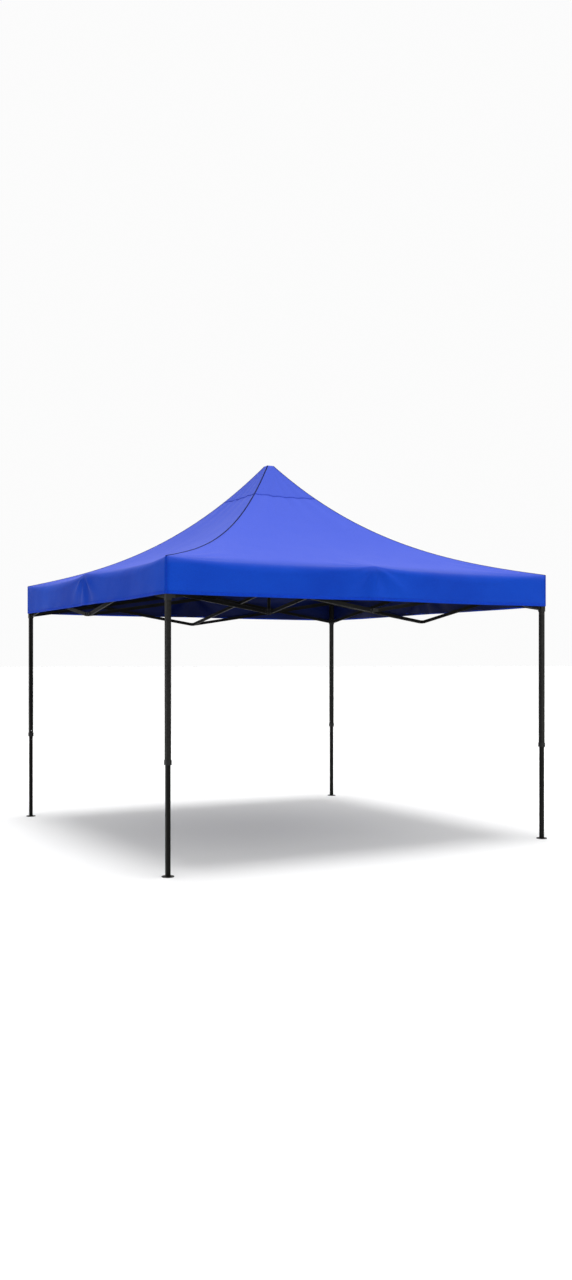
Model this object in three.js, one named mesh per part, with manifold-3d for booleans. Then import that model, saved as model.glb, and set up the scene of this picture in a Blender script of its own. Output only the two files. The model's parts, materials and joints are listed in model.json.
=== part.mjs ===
// A pop-up gazebo: a 3 x 3 m canopy on a folding frame of twelve scissor trusses.
// Millimetres, +Z up, standing on Z = 0 with the mast on the Z axis.
//
// Eight trusses run round the sides, two to a side, and four run from the middle of
// each side to the hub. Each has a "down" bar and an "up" bar that cross at a rivet.
// A down bar joins a fixed joint (leg top or upper hub) to the lower middle joint of
// a side. An up bar joins a sliding joint (leg slider or lower hub) to the upper one.

import * as THREE from 'three';
import { mergeVertices } from 'three/addons/utils/BufferGeometryUtils.js';
import Module from 'manifold-3d';

const wasm = await Module();
wasm.setup();

// ---- driving dimensions ----
const LEG_SPACING = 2940; // between the axes of neighbouring legs
const HALF = LEG_SPACING / 2;
const FIXED_PIVOT_Z = 1850; // leg top and upper hub
const SLIDER_DROP = 170; // from a fixed pivot to the sliding pivot below it, frame open
const PIVOT_SHARE = 0.386; // where the bars cross, as a share of a bar from its leg or hub end
const END_REACH = 38; // from a leg's or the mast's axis to the pivot beside it
const MIDDLE_REACH = 28; // from a middle joint's axis to its pivots

const BAR_HEIGHT = 25;
const BAR_DEPTH = 12;
const BAR_WALL = 0.8;
const BAR_END = 11; // bar beyond its end pivots
const LAYER = 7; // from a truss's plane to the middle of either bar
const PIN_RADIUS = 3;
const PIN_HOLE_RADIUS = 3.6;
const HEAD_RADIUS = 5.5;
const HEAD_THICKNESS = 1.8;
const GAP = 0.4; // running clearance between touching pieces
const PIN_SIDES = 8;
const SINK = 1; // how far joined solids run into each other
const CUT = 1; // how far a cutting solid runs past the piece it cuts

const PLATE_THICKNESS = 5;
const PLATE_HEIGHT = 20;
const PLATE_END = 9; // plate beyond its pivot

const OUTER_LEG = { size: 30, wall: 1, bottom: 671.4, top: 1902 };
const INNER_LEG = { size: 25, wall: 1, top: 930 };
const FOOT = { radius: 38, thickness: 4, sides: 20 };
const COLLAR = { size: 35, bottom: 668, top: 698, lip: 3 };
const BUTTON = { z: 716, radius: 3.6, holeRadius: 4.2, back: 9, proud: 3.5, flangeRadius: 5.5, flange: 1.5 };
const HEIGHT_STEPS = 7;
const HEIGHT_STEP = 100;
const BRACKET = { size: 36, drop: 25, top: 1911 };
const SLIDER = { size: 36, halfHeight: 26 };
const MIDDLE = { size: 19, below: 15, above: 12 };
const HUB = { radius: 16.5, halfHeight: 24, sides: 12 };
const MAST = { radius: 12.5, wall: 1, capRadius: 28, capBevel: 6, capUnder: 2800, top: 2812 };

const EAVE = { half: 1490, z: 1919 };
const PEAK = { half: 26, z: 2818 };
const HIP_STRAIGHT = 0.37; // share of the roof's rise that is straight; the rest curves up to the peak
const HIP_POWER = 2.7;
const VALANCE_BOTTOM = 1692;
const CLOTH = 1.2;
const EAVE_SAG = 16; // between a corner and the middle of a side
const PANEL_SAG = 22; // of the roof between its hips
const CANOPY_SECTORS = 48;
const ROOF_RINGS = 9;

// ---- worked out from them ----
const RUN = HALF - END_REACH - MIDDLE_REACH; // level distance between a bar's end pivots
const OPEN_ANGLE = Math.atan2(SLIDER_DROP, 2 * PIVOT_SHARE * RUN);
const BAR_LENGTH = RUN / Math.cos(OPEN_ANGLE);
const CROSSING = (1 - PIVOT_SHARE) * BAR_LENGTH; // from a bar's middle-joint pivot
const RISE = BAR_LENGTH * Math.sin(OPEN_ANGLE);
const SLIDING_PIVOT_Z = FIXED_PIVOT_Z - SLIDER_DROP;
const MIDDLE_LOW_Z = FIXED_PIVOT_Z - RISE;
const MIDDLE_HIGH_Z = SLIDING_PIVOT_Z + RISE;
const QUARTER = Math.PI / 2;

// ---- solids ----
function solidOf(geometry) {
  geometry.deleteAttribute('normal');
  geometry.deleteAttribute('uv');
  const merged = mergeVertices(geometry, 1e-4);
  return new wasm.Manifold(new wasm.Mesh({
    numProp: 3,
    vertProperties: new Float32Array(merged.attributes.position.array),
    triVerts: new Uint32Array(merged.index.array),
  }));
}

function geometryOf(solid) {
  const mesh = solid.getMesh();
  const geometry = new THREE.BufferGeometry();
  geometry.setAttribute('position', new THREE.BufferAttribute(mesh.vertProperties, 3));
  geometry.setIndex(new THREE.BufferAttribute(mesh.triVerts, 1));
  return geometry;
}

function joined(solids) {
  return solids.reduce((whole, solid) => whole.add(solid));
}

// a box between two corners
function block(low, high) {
  const size = high.map((value, i) => value - low[i]);
  const centre = high.map((value, i) => (value + low[i]) / 2);
  return solidOf(new THREE.BoxGeometry(...size).translate(...centre));
}

// a square block centred on the Z axis
function post(size, bottom, top) {
  return block([-size / 2, -size / 2, bottom], [size / 2, size / 2, top]);
}

function discZ(radius, bottom, top, sides) {
  const geometry = new THREE.CylinderGeometry(radius, radius, top - bottom, sides);
  return solidOf(geometry.rotateX(QUARTER).translate(0, 0, (bottom + top) / 2));
}

// a round pin along Y through (x, z)
function rodY(radius, x, z, from, to) {
  const geometry = new THREE.CylinderGeometry(radius, radius, Math.abs(to - from), PIN_SIDES);
  return solidOf(geometry.translate(x, (from + to) / 2, z));
}

// a round pin along X through (0, z)
function rodX(radius, z, from, to) {
  const geometry = new THREE.CylinderGeometry(radius, radius, to - from, PIN_SIDES);
  return solidOf(geometry.rotateZ(QUARTER).translate((from + to) / 2, 0, z));
}

// ---- bars ----
// A bar lies along +X from its middle-joint pivot, which is at the origin.
function barTube() {
  const from = -BAR_END;
  const to = BAR_LENGTH + BAR_END;
  const y = BAR_DEPTH / 2;
  const z = BAR_HEIGHT / 2;
  const outside = block([from, -y, -z], [to, y, z]);
  const inside = block([from - CUT, BAR_WALL - y, BAR_WALL - z], [to + CUT, y - BAR_WALL, z - BAR_WALL]);
  return [0, BAR_LENGTH].reduce(
    (tube, x) => tube.subtract(rodY(PIN_HOLE_RADIUS, x, 0, -BAR_DEPTH, BAR_DEPTH)),
    outside.subtract(inside),
  );
}

// The down bar carries the crossing rivet, which passes through the up bar beside it.
function downBar() {
  const nearFace = BAR_DEPTH / 2;
  const farFace = -(2 * LAYER + BAR_DEPTH / 2 + GAP);
  return geometryOf(joined([
    barTube(),
    rodY(PIN_RADIUS, CROSSING, 0, farFace - HEAD_THICKNESS / 2, nearFace + HEAD_THICKNESS / 2),
    rodY(HEAD_RADIUS, CROSSING, 0, nearFace - BAR_WALL / 2, nearFace + HEAD_THICKNESS),
    rodY(HEAD_RADIUS, CROSSING, 0, farFace - HEAD_THICKNESS, farFace),
  ]));
}

function upBar() {
  return geometryOf(barTube().subtract(rodY(PIN_HOLE_RADIUS, CROSSING, 0, -BAR_DEPTH, BAR_DEPTH)));
}

// ---- joints of the frame ----
// An arm reaches along +X to the pivot of one bar: a plate on the far side of the
// truss's plane from the bar, and a headed pin through the bar. side is +1 or -1.
function arm(from, reach, z, side) {
  const inner = side * GAP;
  const outer = side * (GAP - PLATE_THICKNESS);
  const headAt = side * (LAYER + BAR_DEPTH / 2 + GAP);
  const headEnd = headAt + side * HEAD_THICKNESS;
  return joined([
    block(
      [from, Math.min(inner, outer), z - PLATE_HEIGHT / 2],
      [reach + PLATE_END, Math.max(inner, outer), z + PLATE_HEIGHT / 2],
    ),
    rodY(PIN_RADIUS, reach, z, outer + side * SINK, headAt + side * HEAD_THICKNESS / 2),
    rodY(HEAD_RADIUS, reach, z, headAt, headEnd),
  ]);
}

// one arm in each of the given quarter turns round the Z axis
function arms(quarters, from, reach, z, side) {
  return quarters.map((quarter) => arm(from, reach, z, side).rotate([0, 0, 90 * quarter]));
}

// A side's middle joint: its own +X runs along the side and +Y points to the hub.
function middleJoint(z, side) {
  const core = post(MIDDLE.size, z - MIDDLE.below, z + MIDDLE.above);
  return geometryOf(joined([core, ...arms([0, 1, 2], MIDDLE.size / 2 - SINK, MIDDLE_REACH, z, side)]));
}

function upperHub() {
  const z = FIXED_PIVOT_Z;
  const core = discZ(HUB.radius, z - HUB.halfHeight, z + HUB.halfHeight, HUB.sides);
  const whole = joined([core, ...arms([0, 1, 2, 3], MAST.radius, END_REACH, z, -1)]);
  return geometryOf(whole.subtract(discZ(MAST.radius + 2 * GAP, 0, MAST.top, HUB.sides)));
}

function lowerHub() {
  const z = SLIDING_PIVOT_Z;
  const core = discZ(HUB.radius, z - HUB.halfHeight, z + HUB.halfHeight, HUB.sides);
  const whole = joined([core, ...arms([0, 1, 2, 3], MAST.radius, END_REACH, z, 1)]);
  return geometryOf(whole.subtract(discZ(MAST.radius + GAP, 0, MAST.top, HUB.sides)));
}

function mast() {
  const bore = MAST.radius - MAST.wall;
  const bottom = SLIDING_PIVOT_Z - HUB.halfHeight;
  const profile = [
    [0, MAST.capUnder], [bore, MAST.capUnder], [bore, bottom], [MAST.radius, bottom],
    [MAST.radius, MAST.capUnder], [MAST.capRadius, MAST.capUnder],
    [MAST.capRadius, MAST.top - MAST.capBevel], [MAST.capRadius - MAST.capBevel, MAST.top], [0, MAST.top],
  ].map(([radius, z]) => new THREE.Vector2(radius, z));
  return geometryOf(solidOf(new THREE.LatheGeometry(profile, HUB.sides).rotateX(QUARTER)));
}

// ---- legs: a leg's axis is Z, and its two sides run along +X and +Y ----
function squareTube({ size, wall, bottom, top }) {
  return post(size, bottom, top).subtract(post(size - 2 * wall, bottom - CUT, top + CUT));
}

function outerLeg() {
  let tube = squareTube(OUTER_LEG);
  for (let step = 0; step < HEIGHT_STEPS; step += 1) {
    const z = BUTTON.z + step * HEIGHT_STEP;
    tube = tube.subtract(rodX(BUTTON.holeRadius, z, 0, OUTER_LEG.size));
  }
  return geometryOf(tube);
}

function innerLeg() {
  const { size, wall, top } = INNER_LEG;
  const tube = squareTube({ size, wall, bottom: FOOT.thickness / 2, top });
  const drilled = tube.subtract(rodX(BUTTON.holeRadius, BUTTON.z, 0, OUTER_LEG.size));
  return geometryOf(drilled.add(discZ(FOOT.radius, 0, FOOT.thickness, FOOT.sides)));
}

function collar() {
  const { size, bottom, top, lip } = COLLAR;
  return geometryOf(post(size, bottom, top)
    .subtract(post(OUTER_LEG.size + 2 * GAP, bottom + lip, top + CUT))
    .subtract(post(INNER_LEG.size + 2 * GAP, bottom - CUT, top)));
}

function snapButton() {
  const front = OUTER_LEG.size / 2 + BUTTON.proud;
  return geometryOf(joined([
    rodX(BUTTON.radius, BUTTON.z, BUTTON.back, front),
    rodX(BUTTON.flangeRadius, BUTTON.z, BUTTON.back, BUTTON.back + BUTTON.flange),
  ]));
}

function cornerBracket() {
  const { size, drop, top } = BRACKET;
  const bottom = FIXED_PIVOT_Z - drop;
  const socket = post(OUTER_LEG.size + 2 * GAP, bottom - CUT, OUTER_LEG.top + GAP);
  const core = post(size, bottom, top).subtract(socket);
  const from = size / 2 - 2 * SINK;
  return geometryOf(joined([
    core,
    ...arms([0, 1], from, END_REACH, FIXED_PIVOT_Z, -1),
  ]));
}

function legSlider() {
  const { size, halfHeight } = SLIDER;
  const z = SLIDING_PIVOT_Z;
  const sleeve = post(size, z - halfHeight, z + halfHeight)
    .subtract(post(OUTER_LEG.size + 3 * GAP, 0, FIXED_PIVOT_Z));
  const from = size / 2 - 2 * SINK;
  return geometryOf(joined([sleeve, ...arms([0, 1], from, END_REACH, z, 1)]));
}

// ---- canopy ----
// Height of the roof's hips, where ring is the distance from the centre to a side.
// They are steepest at the peak.
function hipHeight(ring) {
  const u = Math.min(1, Math.max(0, 1 - (ring - PEAK.half) / (EAVE.half - PEAK.half)));
  return EAVE.z + (PEAK.z - EAVE.z) * (HIP_STRAIGHT * u + (1 - HIP_STRAIGHT) * u ** HIP_POWER);
}

// How far the cloth hangs below the hips, where across runs from -1 to 1 between them.
function clothSag(ring, across) {
  const out = ring / EAVE.half;
  const eave = EAVE_SAG * out ** 4 * Math.sin(Math.PI * across) ** 2;
  const panel = PANEL_SAG * Math.sin(Math.PI * out) ** 2 * Math.cos(QUARTER * across) ** 2;
  return eave + panel;
}

// One closed sheet: round profiles turned about the axis, then pulled out to a square.
function canopy() {
  const rings = Array.from({ length: ROOF_RINGS }, (_, i) => {
    const share = i / (ROOF_RINGS - 1);
    return PEAK.half + (EAVE.half - PEAK.half) * share;
  });
  const outside = rings.map((ring) => [ring, hipHeight(ring)]);
  const inside = rings.map((ring) => [ring, hipHeight(ring) - CLOTH]);
  inside[ROOF_RINGS - 1][0] -= CLOTH;
  const profile = [
    [0, PEAK.z - CLOTH], ...inside,
    [EAVE.half - CLOTH, VALANCE_BOTTOM], [EAVE.half, VALANCE_BOTTOM],
    ...outside.reverse(), [0, PEAK.z],
  ].map(([ring, z]) => new THREE.Vector2(ring, z));
  const geometry = new THREE.LatheGeometry(profile, CANOPY_SECTORS).rotateX(QUARTER);
  const position = geometry.attributes.position;
  for (let i = 0; i < position.count; i += 1) {
    const ring = Math.hypot(position.getX(i), position.getY(i));
    const angle = Math.atan2(position.getY(i), position.getX(i));
    const side = Math.round(angle / QUARTER);
    const across = (angle - side * QUARTER) / (QUARTER / 2);
    const x = ring * Math.cos(side * QUARTER) - ring * across * Math.sin(side * QUARTER);
    const y = ring * Math.sin(side * QUARTER) + ring * across * Math.cos(side * QUARTER);
    const hem = position.getZ(i) < (EAVE.z + VALANCE_BOTTOM) / 2;
    const drop = hem ? 0 : clothSag(ring, across);
    position.setXYZ(i, x, y, position.getZ(i) - drop);
  }
  return geometryOf(solidOf(geometry));
}

// ---- assembly ----
const STEEL = { color: 0x24262a, roughness: 0.45, metalness: 0.6 };
const NYLON = { color: 0x17181a, roughness: 0.6, metalness: 0 };
const CHROME = { color: 0xb8bcc0, roughness: 0.25, metalness: 1 };
const POLYESTER = { color: 0x1d4fc8, roughness: 0.8, metalness: 0 };

function piece(name, geometry, finish) {
  const mesh = new THREE.Mesh(geometry, new THREE.MeshStandardMaterial(finish));
  mesh.name = name;
  return mesh;
}

// a group turned by quarters about Z, then moved
function placed(quarter, x = 0, y = 0) {
  const group = new THREE.Group();
  group.rotation.z = quarter * QUARTER;
  group.position.set(x, y, 0);
  return group;
}

const shapes = {
  down: downBar(),
  up: upBar(),
  outerLeg: outerLeg(),
  innerLeg: innerLeg(),
  collar: collar(),
  button: snapButton(),
  bracket: cornerBracket(),
  slider: legSlider(),
  middleLow: middleJoint(MIDDLE_LOW_Z, 1),
  middleHigh: middleJoint(MIDDLE_HIGH_Z, -1),
};

// One truss, which runs along its group's +X from a side's middle joint.
function truss(label, quarter, x, y) {
  const group = placed(quarter, x, y);
  const down = piece(`${label}_down_bar`, shapes.down, STEEL);
  down.position.set(MIDDLE_REACH, LAYER, MIDDLE_LOW_Z);
  down.rotation.y = -OPEN_ANGLE;
  const up = piece(`${label}_up_bar`, shapes.up, STEEL);
  up.position.set(MIDDLE_REACH, -LAYER, MIDDLE_HIGH_Z);
  up.rotation.y = OPEN_ANGLE;
  group.add(down, up);
  return group;
}

function leg(corner, quarter, x, y) {
  const group = placed(quarter, x, y);
  group.add(
    piece(`outer_leg_${corner}`, shapes.outerLeg, STEEL),
    piece(`inner_leg_${corner}`, shapes.innerLeg, STEEL),
    piece(`leg_collar_${corner}`, shapes.collar, NYLON),
    piece(`snap_button_${corner}`, shapes.button, CHROME),
    piece(`corner_bracket_${corner}`, shapes.bracket, NYLON),
    piece(`leg_slider_${corner}`, shapes.slider, NYLON),
  );
  return group;
}

const SIDES = ['front', 'right', 'back', 'left']; // towards -Y, +X, +Y, -X
const CORNERS = ['front_left', 'front_right', 'back_right', 'back_left'];

const gazebo = new THREE.Group();
SIDES.forEach((side, k) => {
  const out = (k - 1) * QUARTER;
  const x = Math.round(Math.cos(out)) * HALF;
  const y = Math.round(Math.sin(out)) * HALF;
  const middle = placed(k, x, y);
  middle.add(
    piece(`${side}_middle_joint_low`, shapes.middleLow, NYLON),
    piece(`${side}_middle_joint_high`, shapes.middleHigh, NYLON),
  );
  gazebo.add(
    middle,
    truss(`${side}_inner`, k + 1, x, y),
    truss(`${side}_right`, k, x, y),
    truss(`${side}_left`, k + 2, x, y),
  );
});
CORNERS.forEach((corner, k) => {
  const out = (k - 1.5) * QUARTER;
  gazebo.add(leg(corner, k, Math.sign(Math.cos(out)) * HALF, Math.sign(Math.sin(out)) * HALF));
});
gazebo.add(
  piece('hub_upper', upperHub(), NYLON),
  piece('hub_lower', lowerHub(), NYLON),
  piece('mast', mast(), STEEL),
  piece('canopy', canopy(), POLYESTER),
);

export default gazebo;
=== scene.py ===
"""A pop-up gazebo: sewn canopy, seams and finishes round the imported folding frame.

Metres, +Z up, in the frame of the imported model. The canopy is a formula surface that
follows the frame's canopy solid; its cloth is gathered by hooks to the frame's bodies.
"""
import json
import math

import bmesh
import bpy
import numpy as np
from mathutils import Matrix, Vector

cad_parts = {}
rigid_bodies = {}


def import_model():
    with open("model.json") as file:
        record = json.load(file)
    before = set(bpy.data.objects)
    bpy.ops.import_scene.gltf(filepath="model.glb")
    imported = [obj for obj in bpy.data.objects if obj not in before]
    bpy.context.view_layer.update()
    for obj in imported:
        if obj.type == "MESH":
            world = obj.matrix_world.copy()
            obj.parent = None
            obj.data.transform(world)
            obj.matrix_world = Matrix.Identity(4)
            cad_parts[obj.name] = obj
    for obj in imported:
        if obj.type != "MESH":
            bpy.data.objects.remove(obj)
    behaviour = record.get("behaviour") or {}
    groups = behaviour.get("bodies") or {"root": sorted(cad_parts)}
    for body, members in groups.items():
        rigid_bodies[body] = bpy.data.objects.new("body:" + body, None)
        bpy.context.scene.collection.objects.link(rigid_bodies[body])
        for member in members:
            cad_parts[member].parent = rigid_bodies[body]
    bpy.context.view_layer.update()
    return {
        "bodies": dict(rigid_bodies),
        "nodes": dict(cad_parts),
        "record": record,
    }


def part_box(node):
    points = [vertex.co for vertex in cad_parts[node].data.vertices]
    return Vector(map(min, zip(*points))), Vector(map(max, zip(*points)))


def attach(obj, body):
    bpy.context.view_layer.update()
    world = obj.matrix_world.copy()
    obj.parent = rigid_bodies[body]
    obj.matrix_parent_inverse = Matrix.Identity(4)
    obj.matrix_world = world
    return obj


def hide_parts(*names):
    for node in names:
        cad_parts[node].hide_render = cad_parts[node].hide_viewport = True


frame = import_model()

SIDES = ("front", "right", "back", "left")
CORNERS = {
    "front_left": (-1, -1),
    "front_right": (1, -1),
    "back_right": (1, 1),
    "back_left": (-1, 1),
}
CLOTH_BODY = "hub_upper"
TINY = 1e-6  # keeps a division or an angle defined at zero

# the canopy's shape
CANOPY_LOW, CANOPY_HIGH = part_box("canopy")
HALF = CANOPY_HIGH.x  # from the mast's axis to a side
HEM_Z = CANOPY_LOW.z
PEAK_Z = CANOPY_HIGH.z
VALANCE_DEPTH = 0.227
EAVE_Z = HEM_Z + VALANCE_DEPTH
PEAK_HALF = 0.026  # the flat square over the mast's cap
HIP_STRAIGHT = 0.37  # share of the roof's rise that is straight; the rest curves up to the peak
HIP_POWER = 2.7
CLOTH_THICKNESS = 0.0008
SUPPORT_SHARE = 0.014  # of half a side, where the eave lies on a middle joint
EAVE_SAG = 0.032
EAVE_SAG_POWER = 0.85  # below 1, the sag starts sooner beside a support
PANEL_SAG = 0.022
TIGHT_ROLL = 0.005  # radius of the eave at its supports
LOOSE_ROLL = 0.055  # and halfway between them

# creases and folds in the cloth
CREASES_DOWN = (-1.08, -0.62, -0.21, 0.33, 0.74, 1.17)  # places along a side
CREASES_ROUND = (0.52, 0.91, 1.24)  # distances from the mast
CREASE_HEIGHT = 0.0011
CREASE_WIDTH = 0.012
CALM_EDGE = 0.06  # the roof's folds fade out this near to a hip or the eave
MIDDLE_FOLD_HEIGHT = 0.024  # folds in the valance below a middle joint
MIDDLE_FOLD_START = 0.1
MIDDLE_FOLD_REACH = 0.28
MIDDLE_FOLD_ANGLE = 0.95  # radians from straight down, on both sides of the joint
MIDDLE_FOLD_SHARPNESS = 3.6
BROAD_RIPPLE = 0.014  # how far the valance stands out at the hem
FINE_RIPPLE = 0.004
STIFF_CORNER = 0.16  # the valance hangs flat for this far from a corner
CORNER_CREASE = 0.003
CORNER_CREASE_PLACE = 0.05
CORNER_CREASE_WIDTH = 0.03

# the cloth's mesh
ACROSS_STEPS = 96  # round one side of the canopy
ROOF_STEPS = 76
ROLL_STEPS = 14
VALANCE_STEPS = 20
MERGE_GAP = 1e-5  # points nearer than this are one point
RINGS = np.concatenate([
    np.linspace(PEAK_HALF, HALF - LOOSE_ROLL, ROOF_STEPS),
    HALF - LOOSE_ROLL * (1 - np.linspace(0, 1, ROLL_STEPS + 1)[1:]) ** 2,
])

# seams, hem and the doubled square at the peak
HEM_HEIGHT = 0.022
HIP_SEAM_WIDTH = 0.009
CORNER_SEAM_WIDTH = 0.008
PATCH_RING = 0.27
PATCH_LIFT = 0.0012  # above the roof's cloth
PATCH_ACROSS_STEPS = 40
PATCH_RINGS = 20
PATCH_SEAM_INSET = 0.006
PATCH_SEAM_WIDTH = 0.01

# the gathered cloth
PLEATS = 11  # in each side
PLEAT_DEPTH = 0.02
PLEAT_RISE = 0.012  # share of the peak's drop that is kept off the crest of a pleat
PLEAT_FADE = 0.6  # the pleats die away nearer to the mast than this
LIFT_REACH = 1.4  # from a middle joint, the cloth that rises with it
LIFT_FADE = 0.9
HELD_SHARE = 0.55  # of the peak's drop, kept off the cloth over a middle joint
LEAST_WEIGHT = 1e-3

# colours of the cloth, its coating and its seams; the roof's colours hold painted light and the
# underside's painted shade
DEEP_BLUE = (0.001, 0.042, 0.42, 1)
BRIGHT_BLUE = (0.0025, 0.06, 0.51, 1)
ROOF_PAINTED_LIGHT = (0.072, 0.12, 0.66, 1)  # painted light: the roof's cloth painted lighter, standing in for the overhead light on it
# the doubled patch's painted light, as on the roof
DOUBLED_PAINTED_LIGHT = (0.064, 0.11, 0.62, 1)
# painted shade: the underside's coating is painted near-black navy, the shade under the canopy painted
# into its colour
UNDERSIDE_PAINTED_SHADE_DEEP = (0.002, 0.005, 0.045, 1)
UNDERSIDE_PAINTED_SHADE_LIGHT = (0.003, 0.009, 0.07, 1)
SEAM_TAPE = (0.002, 0.005, 0.05, 1)
SEAM_THREAD = (0.012, 0.022, 0.13, 1)
# painted light: the patch's stitched edge is painted lighter, to sit on the roof's painted light
PATCH_TAPE_PAINTED_LIGHT = (0.058, 0.1, 0.57, 1)
PATCH_THREAD_PAINTED_LIGHT = (0.045, 0.08, 0.48, 1)
HEM_TAPE = (0.001, 0.036, 0.4, 1)
HEM_THREAD = (0.003, 0.048, 0.4, 1)

# how the cloth is woven and sewn
WEAVE_SCALE = 140.0  # of the wave texture, which gives about 446 threads to a metre
TAPE_WEAVE_SCALE = 90.0  # about 286 threads to a metre
STITCH_PITCH = 0.004
STITCH_SHARE = 0.68  # of the pitch, the rest being the gap to the next stitch
STITCH_ROW = 0.05  # half the width of a row of stitches, as a share of the tape's width
CLOTH_SHEEN = 0.01
CLOTH_SPECULAR = 0.08


# ---------------------------------------------------------------- shape of the cloth
def smooth(x):
    x = np.clip(x, 0.0, 1.0)
    return x * x * (3 - 2 * x)


def half_wave(angle):
    """A sine that runs between 0 and 1."""
    return 0.5 + 0.5 * np.sin(angle)


def hip_height(ring):
    u = np.clip(1 - (ring - PEAK_HALF) / (HALF - PEAK_HALF), 0, 1)
    return EAVE_Z + (PEAK_Z - EAVE_Z) * (HIP_STRAIGHT * u + (1 - HIP_STRAIGHT) * u**HIP_POWER)


def slack(across):
    """0 at the corners and the middle joints, and 1 halfway between them."""
    u = np.clip((np.abs(across) - SUPPORT_SHARE) / (1 - SUPPORT_SHARE), 0, 1)
    return 4 * u * (1 - u)


def eave_drop(across):
    return EAVE_SAG * slack(across) ** EAVE_SAG_POWER


def eave_roll(across):
    return TIGHT_ROLL + (LOOSE_ROLL - TIGHT_ROLL) * slack(across)


def fold_fan(waves, distance, height, place, spread):
    """Folds that are strongest at a distance of place, and die away over spread."""
    return height * np.exp(-((distance - place) / spread) ** 2) * waves


def tension_folds(ring, across):
    """Low folds that fan out from the corners, the middle joints and the peak."""
    along = across * HALF
    inset = HALF - ring
    to_corner = HALF - np.abs(along)
    corner_waves = np.sin(13 * np.arctan2(inset, to_corner + TINY))
    middle_waves = np.cos(9 * np.arctan2(along, inset + TINY))
    peak_waves = np.cos(5 * math.pi * across)
    corner = fold_fan(corner_waves, np.hypot(inset, to_corner), height=0.0035, place=0.22, spread=0.2)
    middle = fold_fan(middle_waves, np.hypot(inset, along), height=0.0028, place=0.2, spread=0.17)
    peak = fold_fan(peak_waves, ring, height=0.0025, place=0.3, spread=0.2)
    return corner + middle + peak


def packing_creases(ring, across, side):
    """Faint ridges where the cloth was folded flat in its bag, a little off from side to side."""
    along = across * ring
    total = 0.0
    for n, place in enumerate(CREASES_DOWN):
        shift = 0.04 * math.sin(2.1 * n + 1.7 * side)
        total = total + np.exp(-((along - place - shift) / CREASE_WIDTH) ** 2)
    for n, place in enumerate(CREASES_ROUND):
        shift = 0.03 * math.cos(1.3 * n + 2.3 * side)
        total = total + 0.8 * np.exp(-((ring - place - shift) / CREASE_WIDTH) ** 2)
    return CREASE_HEIGHT * total


def cloth_drop(ring, across, side):
    """How far the roof lies below the straight line between its hips."""
    out = ring / HALF
    eave = eave_drop(across) * out**4
    roll = eave_roll(across)
    over = np.clip(roll - (HALF - ring), 0, roll)
    rolled = roll - np.sqrt(roll**2 - over**2)
    panel = PANEL_SAG * np.sin(math.pi * out) ** 2 * np.cos(math.pi / 2 * across) ** 2
    inside = smooth((HALF - ring) / CALM_EDGE) * smooth((1 - np.abs(across)) * ring / CALM_EDGE)
    folds = tension_folds(ring, across) - packing_creases(ring, across, side)
    return eave + rolled + panel + inside * folds


def turned(x, y, side):
    """A point of the front side, where y is minus the ring, turned to another side."""
    angle = side * math.pi / 2
    return x * math.cos(angle) - y * math.sin(angle), x * math.sin(angle) + y * math.cos(angle)


def roof_point(ring, across, side):
    x, y = turned(across * ring, -ring, side)
    return np.stack([x, y, hip_height(ring) - cloth_drop(ring, across, side)], axis=-1)


def middle_folds(along, below):
    """Folds in the valance that fan out and down from a middle joint."""
    reach = np.hypot(along, below)
    fan = np.arctan2(np.abs(along), below + TINY)
    ridge = np.cos(MIDDLE_FOLD_SHARPNESS * (fan - MIDDLE_FOLD_ANGLE)) ** 4
    fading = np.exp(-((reach / MIDDLE_FOLD_REACH) ** 2))
    return MIDDLE_FOLD_HEIGHT * smooth(reach / MIDDLE_FOLD_START) * fading * ridge


def valance_point(down, across, side):
    """down runs from 0 at the eave to 1 at the hem. The cloth only stands out from the frame."""
    top = EAVE_Z - eave_drop(across) - eave_roll(across)
    z = top + (HEM_Z - top) * down
    phase = 1.9 * side
    broad = half_wave(8.5 * across + phase)
    fine = half_wave(24 * across - 2 * phase + 2.5 * down)
    ripple = down**1.3 * (BROAD_RIPPLE * broad + FINE_RIPPLE * fine)
    from_corner = (1 - np.abs(across)) * HALF
    near_crease = np.exp(-((from_corner - CORNER_CREASE_PLACE) / CORNER_CREASE_WIDTH) ** 2)
    crease = CORNER_CREASE * down * near_crease * half_wave(14 * down + 60 * from_corner)
    free = smooth(from_corner / STIFF_CORNER) * (ripple + middle_folds(across * HALF, EAVE_Z - z))
    ring = HALF + free + crease * smooth(from_corner / CORNER_CREASE_WIDTH)
    x, y = turned(across * HALF, -ring, side)
    return np.stack([x, y, z], axis=-1)


def grid_faces(rows, columns, start):
    faces = []
    for i in range(rows - 1):
        for j in range(columns - 1):
            a = start + i * columns + j
            faces.append((a, a + columns, a + columns + 1, a + 1))
    return faces


def centre_faces(starts, columns, centre):
    """A fan that closes the square at the peak, from each side's first row to its centre."""
    return [(start + j + 1, start + j, centre) for start in starts for j in range(columns - 1)]


def new_mesh(name, points, faces, uvs=None):
    mesh = bpy.data.meshes.new(name)
    mesh.from_pydata([tuple(p) for p in points], [], faces)
    if uvs is not None:
        layer = mesh.uv_layers.new(name="cloth")
        flat = np.array(uvs, float)[[v for face in faces for v in face]]
        layer.data.foreach_set("uv", flat.astype(np.float32).ravel())
    mesh.validate()
    for polygon in mesh.polygons:
        polygon.use_smooth = True
    piece = bpy.data.objects.new(name, mesh)
    bpy.context.scene.collection.objects.link(piece)
    return piece


def merge_doubles(piece, distance):
    work = bmesh.new()
    work.from_mesh(piece.data)
    bmesh.ops.remove_doubles(work, verts=work.verts, dist=distance)
    bmesh.ops.recalc_face_normals(work, faces=work.faces)
    work.to_mesh(piece.data)
    work.free()


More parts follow.
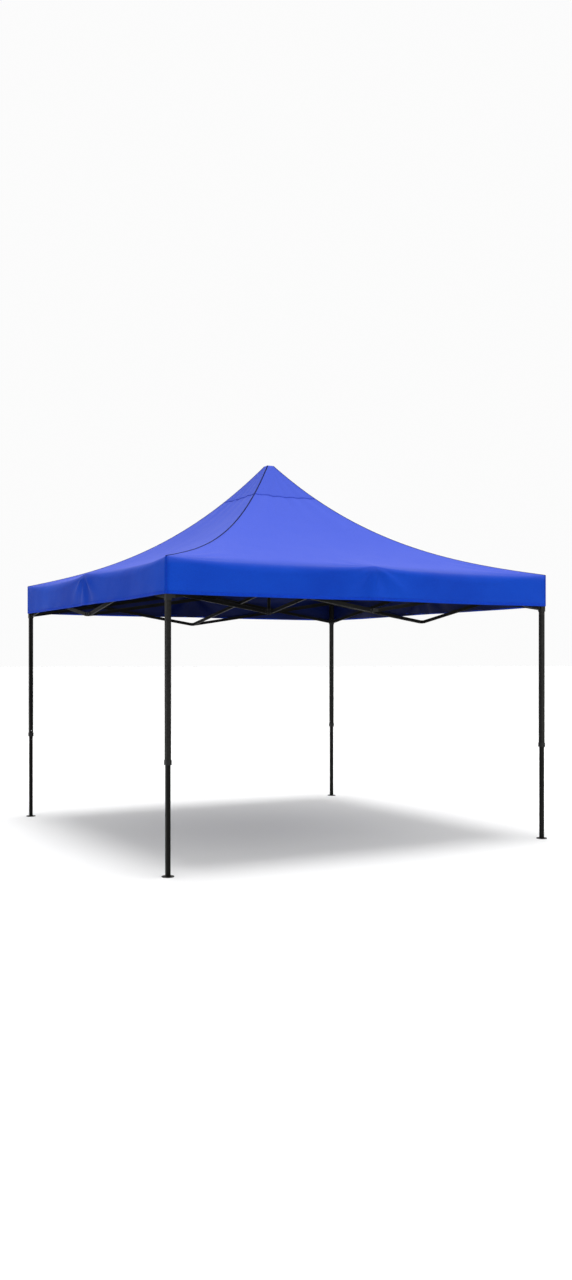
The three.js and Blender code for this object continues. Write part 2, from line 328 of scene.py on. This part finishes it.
# ---------------------------------------------------------------- following the fold
def cloth_weights(points):
    """How much each point follows each body as the frame folds.

    The legs gather the plan, with pleats that open outwards. The upper middle joints
    lift the cloth over them, and the mast lets the peak down, but less of it over a
    middle joint. A middle joint also moves inwards, so what it carries is taken off
    the place that the legs' shares are read at.
    """
    x, y, z = points[:, 0], points[:, 1], points[:, 2]
    ring = np.maximum(np.maximum(np.abs(x), np.abs(y)), TINY)
    sideways = np.abs(x) > np.abs(y)
    outward_x = np.where(sideways, np.sign(x), 0)
    outward_y = np.where(sideways, 0, np.sign(y))
    across = np.where(sideways, y, x) / ring
    pleat = np.sin(math.pi * PLEATS * (across + 1) / 2) ** 2 * smooth(ring / PLEAT_FADE)
    plan_x = x - PLEAT_DEPTH * pleat * outward_x
    plan_y = y - PLEAT_DEPTH * pleat * outward_y
    weights = {}
    held_up = np.zeros(len(points))
    for side, name in enumerate(SIDES):
        joint_x, joint_y = turned(0.0, -HALF, side)
        near = np.hypot(x - joint_x, y - joint_y)
        lift = smooth((LIFT_REACH - near) / LIFT_FADE)
        weights[f"{name}_middle_joint_high"] = lift
        held_up = np.maximum(held_up, lift)
        plan_x = plan_x - lift * joint_x
        plan_y = plan_y - lift * joint_y
    for corner, (sx, sy) in CORNERS.items():
        share_x = np.clip((1 + sx * plan_x / HALF) / 2, 0, 1)
        share_y = np.clip((1 + sy * plan_y / HALF) / 2, 0, 1)
        weights[f"leg_{corner}"] = share_x * share_y
    rise = np.clip((z - EAVE_Z) / (PEAK_Z - EAVE_Z), 0, 1)
    let_down = rise * (1 - HELD_SHARE * held_up)
    weights["mast"] = np.clip(let_down - PLEAT_RISE * pleat * (rise > 0), 0, 1)
    return weights


def follow_frame(piece):
    """Rides the piece on the upper hub and hooks its points to the frame's bodies."""
    points = np.array([v.co for v in piece.data.vertices], float)
    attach(piece, CLOTH_BODY)
    for body, weights in cloth_weights(points).items():
        group = piece.vertex_groups.new(name=body)
        for index in np.nonzero(weights > LEAST_WEIGHT)[0]:
            group.add([int(index)], float(weights[index]), "REPLACE")
        hook = piece.modifiers.new(f"follow_{body}", "HOOK")
        hook.object = frame["bodies"][body]
        hook.vertex_group = body
        hook.falloff_type = "NONE"
        hook.strength = 1.0


def thicken(piece, thickness, lining=False):
    """Gives a sheet its thickness, inwards. The lining is the piece's second material."""
    solid = piece.modifiers.new("thickness", "SOLIDIFY")
    solid.thickness = thickness
    solid.offset = -1.0
    if lining:
        solid.material_offset = 1
        solid.material_offset_rim = 0


# ---------------------------------------------------------------- materials
def material(name):
    """A new material: itself, its shader, its links and a helper that adds nodes."""
    made = bpy.data.materials.new(name)
    made.use_nodes = True
    nodes, links = made.node_tree.nodes, made.node_tree.links
    shader = nodes["Principled BSDF"]

    def add(kind, inputs=None, **settings):
        node = nodes.new(kind)
        for key, value in settings.items():
            setattr(node, key, value)
        for key, value in (inputs or {}).items():
            if isinstance(value, bpy.types.NodeSocket):
                links.new(value, node.inputs[key])
            else:
                node.inputs[key].default_value = value
        return node

    return made, shader, links, add


def noise(add, place, scale, detail):
    node = add("ShaderNodeTexNoise", {"Vector": place.outputs["Object"], "Scale": scale, "Detail": detail})
    return node.outputs["Fac"]


def ramp(add, factor, low, high, start=0.3, end=0.7):
    node = add("ShaderNodeValToRGB", {"Fac": factor})
    node.color_ramp.elements[0].position = start
    node.color_ramp.elements[0].color = low
    node.color_ramp.elements[1].position = end
    node.color_ramp.elements[1].color = high
    return node.outputs["Color"]


def between(add, value, low, high):
    """A value that runs from 0 to 1, made to run from low to high."""
    return add("ShaderNodeMapRange", {"Value": value, "To Min": low, "To Max": high}).outputs[0]


def maths(add, operation, *values):
    return add("ShaderNodeMath", dict(enumerate(values)), operation=operation).outputs[0]


def mix(add, factor, first, second, blend="MIX"):
    """Mixes two colours. The mix node's colour sockets have only numbers: 6 and 7 in, 2 out."""
    inputs = {"Factor": factor, 6: first, 7: second}
    return add("ShaderNodeMix", inputs, data_type="RGBA", blend_type=blend).outputs[2]


def bump(add, height, strength, distance, under=None):
    inputs = {"Height": height, "Strength": strength, "Distance": distance}
    if under is not None:
        inputs["Normal"] = under
    return add("ShaderNodeBump", inputs).outputs[0]


def weave_height(add, vector, scale):
    """A plain weave: two crossing sets of threads."""
    height = []
    for direction in ("X", "Y"):
        wave = add(
            "ShaderNodeTexWave",
            {"Vector": vector, "Scale": scale, "Distortion": 0.4, "Detail": 1.0},
            bands_direction=direction,
        )
        height.append(wave.outputs["Fac"])
    return maths(add, "ADD", *height)


def painted_roof_light(add, colour, light, place):
    """The colour, painted lighter above the eave: painted light on the roof, where the overhead light
    falls on the cloth.
    """
    height = add("ShaderNodeSeparateXYZ", {"Vector": place.outputs["Object"]}).outputs["Z"]
    limits = {"Value": height, "From Min": EAVE_Z - 0.05, "From Max": EAVE_Z + 0.04}
    share = add("ShaderNodeMapRange", limits, interpolation_type="SMOOTHSTEP")
    return mix(add, share.outputs[0], colour, light)


def cloth_material(name, deep, light, roof_light=None, roughness=0.62):
    """Coated woven polyester: broad colour changes, slubs, a weave and soft crinkles."""
    made, shader, links, add = material(name)
    place = add("ShaderNodeTexCoord")
    colour = ramp(add, noise(add, place, scale=1.7, detail=4.0), deep, light)
    # painted light: lighter above the eave, for the light that falls on the roof
    if roof_light:
        colour = painted_roof_light(add, colour, roof_light, place)
    slub = ramp(add, noise(add, place, scale=260.0, detail=2.0), (0.9, 0.9, 0.9, 1), (1.06, 1.06, 1.06, 1))
    links.new(mix(add, 1.0, colour, slub, "MULTIPLY"), shader.inputs["Base Color"])
    worn = noise(add, place, scale=5.0, detail=3.0)
    links.new(between(add, worn, roughness - 0.07, roughness + 0.08), shader.inputs["Roughness"])
    crinkle = bump(add, noise(add, place, scale=16.0, detail=5.0), strength=0.22, distance=0.004)
    threads = weave_height(add, place.outputs["UV"], WEAVE_SCALE)
    woven = bump(add, threads, strength=0.25, distance=0.0002, under=crinkle)
    links.new(woven, shader.inputs["Normal"])
    shader.inputs["Sheen Weight"].default_value = CLOTH_SHEEN
    shader.inputs["Sheen Roughness"].default_value = 0.45
    shader.inputs["Specular IOR Level"].default_value = CLOTH_SPECULAR
    return made


def stitched_material(name, cloth, thread, rows):
    """Seam tape with rows of stitches; its UV runs across (0 to 1) and along in metres."""
    made, shader, links, add = material(name)
    place = add("ShaderNodeTexCoord")
    parts = add("ShaderNodeSeparateXYZ", {"Vector": place.outputs["UV"]})
    along = maths(add, "MULTIPLY", parts.outputs["Y"], 1 / STITCH_PITCH)
    dash = maths(add, "LESS_THAN", maths(add, "FRACT", along), STITCH_SHARE)
    seen = 0.0
    for row in rows:
        away = maths(add, "ABSOLUTE", maths(add, "SUBTRACT", parts.outputs["X"], row))
        seen = maths(add, "MAXIMUM", seen, maths(add, "LESS_THAN", away, STITCH_ROW))
    stitch = maths(add, "MULTIPLY", seen, dash)
    pale = tuple(1.3 * c for c in cloth[:3]) + (1,)
    base = ramp(add, noise(add, place, scale=90.0, detail=3.0), cloth, pale)
    links.new(mix(add, stitch, base, thread), shader.inputs["Base Color"])
    raised = bump(add, stitch, strength=0.6, distance=0.0006)
    weave = weave_height(add, place.outputs["Object"], TAPE_WEAVE_SCALE)
    both = bump(add, weave, strength=0.3, distance=0.0003, under=raised)
    links.new(both, shader.inputs["Normal"])
    shader.inputs["Roughness"].default_value = 0.7
    shader.inputs["Sheen Weight"].default_value = CLOTH_SHEEN
    shader.inputs["Specular IOR Level"].default_value = CLOTH_SPECULAR
    return made


def coated_steel_material(name, dark, light, rubbed=(0.05, 0.049, 0.047, 1)):
    """Powder coat: fine orange peel, dust in broad patches, paler where edges are rubbed."""
    made, shader, links, add = material(name)
    place = add("ShaderNodeTexCoord")
    patch = noise(add, place, scale=9.0, detail=5.0)
    sharp = add("ShaderNodeNewGeometry").outputs["Pointiness"]
    edge = add("ShaderNodeMapRange", {"Value": sharp, "From Min": 0.56, "From Max": 0.7})
    mask = maths(add, "MULTIPLY", edge.outputs[0], noise(add, place, scale=60.0, detail=4.0))
    links.new(mix(add, mask, ramp(add, patch, dark, light), rubbed), shader.inputs["Base Color"])
    links.new(between(add, patch, 0.42, 0.6), shader.inputs["Roughness"])
    peel = bump(add, noise(add, place, scale=900.0, detail=2.0), strength=0.2, distance=0.0003)
    links.new(peel, shader.inputs["Normal"])
    shader.inputs["Specular IOR Level"].default_value = 0.06
    return made


def moulded_material(name, dark, light):
    """Matte moulded nylon with a fine spark-eroded grain."""
    made, shader, links, add = material(name)
    place = add("ShaderNodeTexCoord")
    patch = noise(add, place, scale=22.0, detail=3.0)
    links.new(ramp(add, patch, dark, light), shader.inputs["Base Color"])
    cells = add("ShaderNodeTexVoronoi", {"Vector": place.outputs["Object"], "Scale": 1800.0})
    grain = bump(add, cells.outputs["Distance"], strength=0.3, distance=0.0002)
    links.new(grain, shader.inputs["Normal"])
    links.new(between(add, patch, 0.5, 0.68), shader.inputs["Roughness"])
    shader.inputs["Specular IOR Level"].default_value = 0.25
    return made


def plated_material(name, dull, bright):
    """Zinc plate, stained in patches."""
    made, shader, links, add = material(name)
    place = add("ShaderNodeTexCoord")
    stain = noise(add, place, scale=120.0, detail=4.0)
    links.new(ramp(add, stain, dull, bright), shader.inputs["Base Color"])
    links.new(between(add, stain, 0.2, 0.42), shader.inputs["Roughness"])
    shader.inputs["Metallic"].default_value = 1.0
    return made


# ---------------------------------------------------------------- canopy pieces
def surface_area(piece):
    return sum(polygon.area for polygon in piece.data.polygons)


def make_canopy(outside, inside):
    """The whole cover, peak to hem, as one sheet."""
    across = np.linspace(-1, 1, ACROSS_STEPS + 1)
    downs = np.linspace(0, 1, VALANCE_STEPS + 1)[1:]
    middle = ACROSS_STEPS // 2
    points, uvs, faces, starts = [], [], [], []
    for side in range(len(SIDES)):
        start = len(points)
        starts.append(start)
        rows = [roof_point(ring, across, side) for ring in RINGS]
        rows += [valance_point(down, across, side) for down in downs]
        run = 0.0
        for n, row in enumerate(rows):
            if n:
                run += float(np.linalg.norm(row[middle] - rows[n - 1][middle]))
            width = RINGS[min(n, len(RINGS) - 1)]
            uvs += [(a * width, run) for a in across]
            points += list(row)
        faces += grid_faces(len(rows), len(across), start)
    faces += centre_faces(starts, len(across), len(points))
    points.append(np.array([0, 0, PEAK_Z]))
    uvs.append((0, 0))
    piece = new_mesh("canopy_cover", points, faces, uvs)
    merge_doubles(piece, MERGE_GAP)
    piece.data.materials.append(outside)
    piece.data.materials.append(inside)
    area = surface_area(piece)
    follow_frame(piece)
    thicken(piece, CLOTH_THICKNESS, lining=True)
    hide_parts("canopy")
    return piece, area


def tape(name, path, outward, width, finish, height=0.0011, sink=0.0006):
    """A narrow raised strip sewn along a path: crowned across, with square-cut ends."""
    path, outward = np.array(path), np.array(outward)
    along = np.gradient(path, axis=0)
    along /= np.linalg.norm(along, axis=1)[:, None]
    sideways = np.cross(along, outward)
    sideways /= np.linalg.norm(sideways, axis=1)[:, None]
    outward = np.cross(sideways, along)
    shoulder = height * 0.7
    section = [
        (-0.5, -sink),
        (-0.46, shoulder),
        (-0.2, height),
        (0.2, height),
        (0.46, shoulder),
        (0.5, -sink),
    ]
    steps = np.linalg.norm(np.diff(path, axis=0), axis=1)
    lengths = np.concatenate([[0], np.cumsum(steps)])
    points, uvs = [], []
    for place, side, out, run in zip(path, sideways, outward, lengths):
        for offset, lift in section:
            points.append(place + side * offset * width + out * lift)
            uvs.append((offset + 0.5, run))
    count = len(section)
    faces = []
    for i in range(len(path) - 1):
        for j in range(count):
            a, b = i * count + j, i * count + (j + 1) % count
            faces.append((a, b, b + count, a + count))
    faces.append(tuple(range(count)))
    last = (len(path) - 1) * count
    faces.append(tuple(last + j for j in reversed(range(count))))
    piece = new_mesh(name, points, faces, uvs)
    merge_doubles(piece, 1e-7)
    piece.data.materials.append(finish)
    follow_frame(piece)
    return piece


def hip_seams(finish, corner_finish):
    """Felled seams down the four hips and on down the valance's corners."""
    made = []
    at_corner = np.array(-1.0)
    downs = np.linspace(0, 1, VALANCE_STEPS + 1)
    for side, corner in enumerate(CORNERS):
        hip = [roof_point(ring, at_corner, side) for ring in RINGS]
        up = [(0, 0, 1)] * len(hip)
        made.append(tape(f"hip_seam_{corner}", hip, up, HIP_SEAM_WIDTH, finish, height=0.0016))
        x, y = turned(-1.0, -1.0, side)
        post = [valance_point(down, at_corner, side) for down in downs]
        out = [(x, y, 0)] * len(post)
        seam = tape(
            f"corner_seam_{corner}", post, out, CORNER_SEAM_WIDTH, corner_finish, height=0.0012, sink=0.004
        )
        made.append(seam)
    return made


def hems(finish):
    across = np.linspace(-1, 1, ACROSS_STEPS + 1)
    middle = 1 - HEM_HEIGHT / 2 / VALANCE_DEPTH
    made = []
    for side, name in enumerate(SIDES):
        row = valance_point(middle, across, side)
        x, y = turned(0.0, -1.0, side)
        made.append(tape(f"hem_{name}", row, [(x, y, 0)] * len(row), HEM_HEIGHT, finish, height=0.0009))
    return made


def peak_patch(finish, edge_finish):
    """The doubled square at the peak, with its stitched edge."""
    across = np.linspace(-1, 1, PATCH_ACROSS_STEPS + 1)
    rings = np.linspace(PEAK_HALF, PATCH_RING, PATCH_RINGS)
    lift = np.array([0, 0, PATCH_LIFT])
    points, uvs, faces, starts = [], [], [], []
    for side in range(len(SIDES)):
        start = len(points)
        starts.append(start)
        for ring in rings:
            points += list(roof_point(ring, across, side) + lift)
            uvs += [(a * ring, ring) for a in across]
        faces += grid_faces(len(rings), len(across), start)
    faces += centre_faces(starts, len(across), len(points))
    points.append(np.array([0, 0, PEAK_Z]) + lift)
    uvs.append((0, 0))
    patch = new_mesh("peak_patch", points, faces, uvs)
    merge_doubles(patch, MERGE_GAP)
    patch.data.materials.append(finish)
    follow_frame(patch)
    thicken(patch, CLOTH_THICKNESS)
    edges = []
    for side, name in enumerate(SIDES):
        row = roof_point(PATCH_RING - PATCH_SEAM_INSET, across, side)
        up = [(0, 0, 1)] * len(row)
        edges.append(tape(f"patch_edge_{name}", row, up, PATCH_SEAM_WIDTH, edge_finish, height=0.0018))
    return patch, edges


# ---------------------------------------------------------------- frame finishes
TUBE_EDGE = 0.0012
MOULDED_EDGE = 0.0008


def finish_frame(finishes):
    """Softens the edges of each frame piece and gives it its material."""
    slots = {row["node"]: row["material_slot"] for row in frame["record"]["subparts"]}
    for name, node in frame["nodes"].items():
        if name == "canopy":
            continue
        node.data.materials.clear()
        node.data.materials.append(finishes[slots[name]])
        flat = node.modifiers.new("merge_flat_faces", "DECIMATE")
        flat.decimate_type = "DISSOLVE"
        flat.angle_limit = math.radians(1)
        bevel = node.modifiers.new("soft_edges", "BEVEL")
        bevel.width = TUBE_EDGE if "leg" in name or name.endswith("bar") else MOULDED_EDGE
        bevel.segments = 2
        bevel.limit_method = "ANGLE"
        bevel.angle_limit = math.radians(50)
        bevel.harden_normals = True


# ---------------------------------------------------------------- studio
SKY = 0.97
SKY_LEFT = 0.45  # dimmer on the left, so that the two sides read apart
LEFT_END = -0.8  # X of the direction in which the sky is fully dim
LEFT_START = 0.1  # and of the one in which it starts to dim
OVERHEAD = 1.5
OVERHEAD_SPREAD = 25  # degrees
SKY_MEAN = 0.72  # what the floor gets of the sky
NEAR_FLOOR = 0.96
FAR_FLOOR = SKY / (SKY_MEAN + OVERHEAD / math.pi)
FLOOR_CHANGE_START = 5.0
FLOOR_CHANGE_END = 24.0
FLOOR_HALF = 400.0
FILL_PLACE = (4.0, -11.0, 4.5)
FILL_TARGET = (0, 0, 1.8)
FILL_SIZE = 5.0
FILL_POWER = 60


def grey(value):
    return (value, value, value, 1)


def floor_material():
    """Pale, and a little deeper far out, where it meets the background."""
    made, shader, links, add = material("pale_floor")
    place = add("ShaderNodeTexCoord")
    away = add("ShaderNodeVectorMath", {0: place.outputs["Object"]}, operation="LENGTH").outputs["Value"]
    limits = {"Value": away, "From Min": FLOOR_CHANGE_START, "From Max": FLOOR_CHANGE_END}
    share = add("ShaderNodeMapRange", limits).outputs[0]
    colour = ramp(add, share, grey(NEAR_FLOOR), grey(FAR_FLOOR), start=0.0, end=1.0)
    links.new(colour, shader.inputs["Base Color"])
    shader.inputs["Roughness"].default_value = 0.9
    shader.inputs["Specular IOR Level"].default_value = 0.0
    return made


def make_floor():
    size = FLOOR_HALF
    points = [(-size, -size, 0), (size, -size, 0), (size, size, 0), (-size, size, 0)]
    floor = new_mesh("studio_floor", points, [(0, 1, 2, 3)])
    floor.data.materials.append(floor_material())


def area_light(name, place, target, size, power):
    data = bpy.data.lights.new(name, "AREA")
    data.shape = "DISK"
    data.size = size
    data.energy = power
    light = bpy.data.objects.new(name, data)
    light.location = place
    light.rotation_euler = (Vector(target) - Vector(place)).to_track_quat("-Z", "Y").to_euler()
    bpy.context.scene.collection.objects.link(light)


def make_sky():
    """A white sky that dims towards the left, by the X of the direction."""
    world = bpy.data.worlds.new("studio")
    bpy.context.scene.world = world
    world.use_nodes = True
    nodes, links = world.node_tree.nodes, world.node_tree.links
    background = nodes["Background"]
    background.inputs["Color"].default_value = grey(1.0)
    around = nodes.new("ShaderNodeTexCoord")
    parts = nodes.new("ShaderNodeSeparateXYZ")
    dim = nodes.new("ShaderNodeMapRange")
    dim.interpolation_type = "SMOOTHSTEP"
    limits = {"From Min": LEFT_END, "From Max": LEFT_START, "To Min": SKY_LEFT, "To Max": SKY}
    for key, value in limits.items():
        dim.inputs[key].default_value = value
    links.new(around.outputs["Generated"], parts.inputs[0])
    links.new(parts.outputs["X"], dim.inputs["Value"])
    links.new(dim.outputs[0], background.inputs["Strength"])


def make_studio():
    make_floor()
    make_sky()
    sun = bpy.data.objects.new("overhead", bpy.data.lights.new("overhead", "SUN"))
    sun.data.energy = OVERHEAD
    sun.data.angle = math.radians(OVERHEAD_SPREAD)
    bpy.context.scene.collection.objects.link(sun)
    area_light("front_fill", FILL_PLACE, FILL_TARGET, FILL_SIZE, FILL_POWER)
    bpy.context.scene.view_settings.view_transform = "Standard"


# the camera that was fitted to the photo's feet, valance corners and peak
CAMERA_PLACE = Vector((-3.988, -7.470, 1.275))
CAMERA_TURN = 0.5061  # radians to the right of straight at the front side
CAMERA_SENSOR = 36.0  # millimetres
CAMERA_LENS = 30.43  # millimetres
CAMERA_SHIFT = 0.0184  # upwards, as a share of the sensor


def make_camera():
    """At chest height and level, off the front left corner."""
    data = bpy.data.cameras.new("view")
    data.sensor_width = CAMERA_SENSOR
    data.lens = CAMERA_LENS
    data.shift_y = CAMERA_SHIFT
    camera = bpy.data.objects.new("view", data)
    camera.location = CAMERA_PLACE
    look = Vector((math.sin(CAMERA_TURN), math.cos(CAMERA_TURN), 0))
    camera.rotation_euler = look.to_track_quat("-Z", "Y").to_euler()
    bpy.context.scene.collection.objects.link(camera)
    bpy.context.scene.camera = camera


def main():
    make_camera()
    make_studio()
    # the roof's cloth gets painted light above the eave
    cloth = cloth_material("blue_polyester_cloth", DEEP_BLUE, BRIGHT_BLUE, ROOF_PAINTED_LIGHT)
    # the underside: a coating, in colours of painted shade
    lining = cloth_material("coated_underside_painted_shade", UNDERSIDE_PAINTED_SHADE_DEEP, UNDERSIDE_PAINTED_SHADE_LIGHT, roughness=0.45)
    # the doubled patch gets painted light, as the roof does
    doubled = cloth_material("doubled_cloth", DEEP_BLUE, BRIGHT_BLUE, DOUBLED_PAINTED_LIGHT)
    seam = stitched_material("seam_tape", SEAM_TAPE, SEAM_THREAD, rows=(0.2, 0.8))
    # the patch's stitching, in colours with painted light
    patch_seam = stitched_material("patch_stitching_painted_light", PATCH_TAPE_PAINTED_LIGHT, PATCH_THREAD_PAINTED_LIGHT, rows=(0.25, 0.75))
    hem = stitched_material("hem_stitching", HEM_TAPE, HEM_THREAD, rows=(0.12, 0.88))
    finish_frame({
        "frame_steel": coated_steel_material("powder_coat", grey(0.003), (0.007, 0.007, 0.006, 1)),
        "black_nylon": moulded_material("black_nylon_moulded", grey(0.005), grey(0.01)),
        "bright_steel": plated_material("zinc_plate", (0.42, 0.43, 0.45, 1), (0.75, 0.76, 0.78, 1)),
    })
    cover, area = make_canopy(cloth, lining)
    tapes = hip_seams(seam, hem) + hems(hem)
    patch, edges = peak_patch(doubled, patch_seam)


main()
